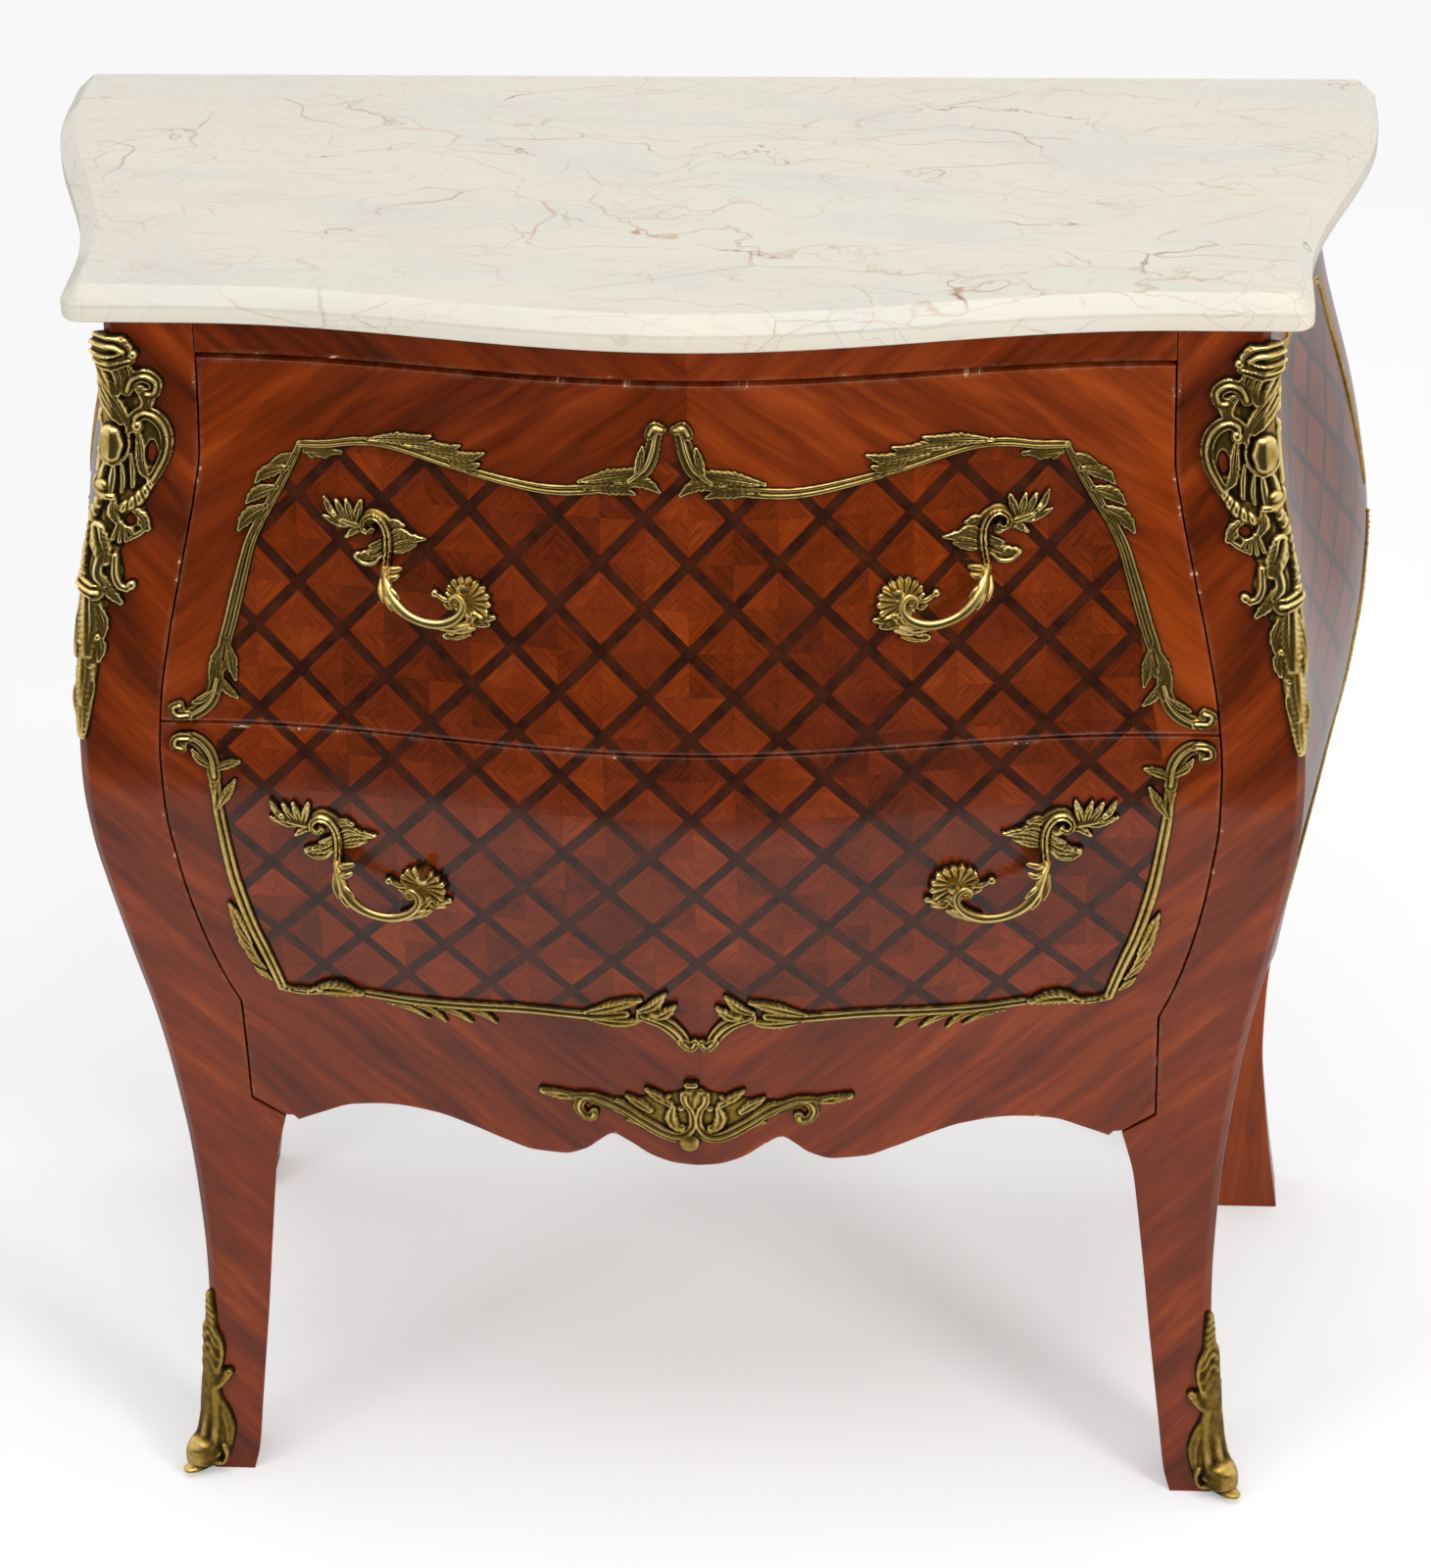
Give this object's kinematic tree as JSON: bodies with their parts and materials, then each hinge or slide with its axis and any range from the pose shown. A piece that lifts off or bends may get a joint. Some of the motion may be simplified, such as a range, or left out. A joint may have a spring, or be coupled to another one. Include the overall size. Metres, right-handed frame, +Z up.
{
  "type": "commode chest",
  "caption": "Small bombe commode with a serpentine marble top, drawers one above the other, parquetry veneer, cabriole legs and gilt brass mounts and handles.",
  "frame": {"origin": "on the floor, under the middle of the bounding box", "axes": "+X to the chest's right as seen from the front, +Y from the drawers to the back, +Z up"},
  "size_m": [0.8124, 0.4083, 0.8],
  "materials": {
    "marble": "polished cream marble with fine tan and red-brown veins",
    "veneer": "polished red-brown veneer, parquetry on the drawers and sides",
    "carcass_wood": "plain stained softwood",
    "drawer_wood": "plain drawer linings",
    "gilt_brass": "cast brass with dark patina in the hollows",
    "nut_brass": "plain turned brass"
  },
  "bodies": {
    "carcass": {"marble_top": "marble", "top_board": "carcass_wood", "front_rail": "veneer", "bottom_board": "carcass_wood", "back_panel": "carcass_wood", "left_front_stile": "veneer", "left_rear_stile": "veneer", "left_side_panel": "veneer", "left_upper_runner": "carcass_wood", "left_lower_runner": "carcass_wood", "left_corner_mount": "gilt_brass", "left_sabot": "gilt_brass", "left_upper_front_side_mount": "gilt_brass", "left_upper_rear_side_mount": "gilt_brass", "left_lower_front_side_mount": "gilt_brass", "left_lower_rear_side_mount": "gilt_brass", "right_front_stile": "veneer", "right_rear_stile": "veneer", "right_side_panel": "veneer", "right_upper_runner": "carcass_wood", "right_lower_runner": "carcass_wood", "right_corner_mount": "gilt_brass", "right_sabot": "gilt_brass", "right_upper_front_side_mount": "gilt_brass", "right_upper_rear_side_mount": "gilt_brass", "right_lower_front_side_mount": "gilt_brass", "right_lower_rear_side_mount": "gilt_brass"},
    "upper_drawer": {"upper_drawer_front": "veneer", "upper_drawer_left_side": "drawer_wood", "upper_drawer_right_side": "drawer_wood", "upper_drawer_back": "drawer_wood", "upper_drawer_bottom": "drawer_wood", "upper_left_handle": "gilt_brass", "upper_left_shell_nut": "nut_brass", "upper_left_scroll_nut": "nut_brass", "upper_left_top_mount": "gilt_brass", "upper_left_side_mount": "gilt_brass", "upper_right_handle": "gilt_brass", "upper_right_shell_nut": "nut_brass", "upper_right_scroll_nut": "nut_brass", "upper_right_top_mount": "gilt_brass", "upper_right_side_mount": "gilt_brass"},
    "lower_drawer": {"lower_drawer_front": "veneer", "lower_drawer_left_side": "drawer_wood", "lower_drawer_right_side": "drawer_wood", "lower_drawer_back": "drawer_wood", "lower_drawer_bottom": "drawer_wood", "apron_mount": "gilt_brass", "lower_left_handle": "gilt_brass", "lower_left_shell_nut": "nut_brass", "lower_left_scroll_nut": "nut_brass", "lower_left_side_mount": "gilt_brass", "lower_left_bottom_mount": "gilt_brass", "lower_right_handle": "gilt_brass", "lower_right_shell_nut": "nut_brass", "lower_right_scroll_nut": "nut_brass", "lower_right_side_mount": "gilt_brass", "lower_right_bottom_mount": "gilt_brass"}
  },
  "joints": [
    {"name": "upper_drawer_slide", "type": "slide", "parent": "carcass", "child": "upper_drawer", "axis": [0, -1, 0], "range_m": [0, 0.25]},
    {"name": "lower_drawer_slide", "type": "slide", "parent": "carcass", "child": "lower_drawer", "axis": [0, -1, 0], "range_m": [0, 0.25]}
  ]
}
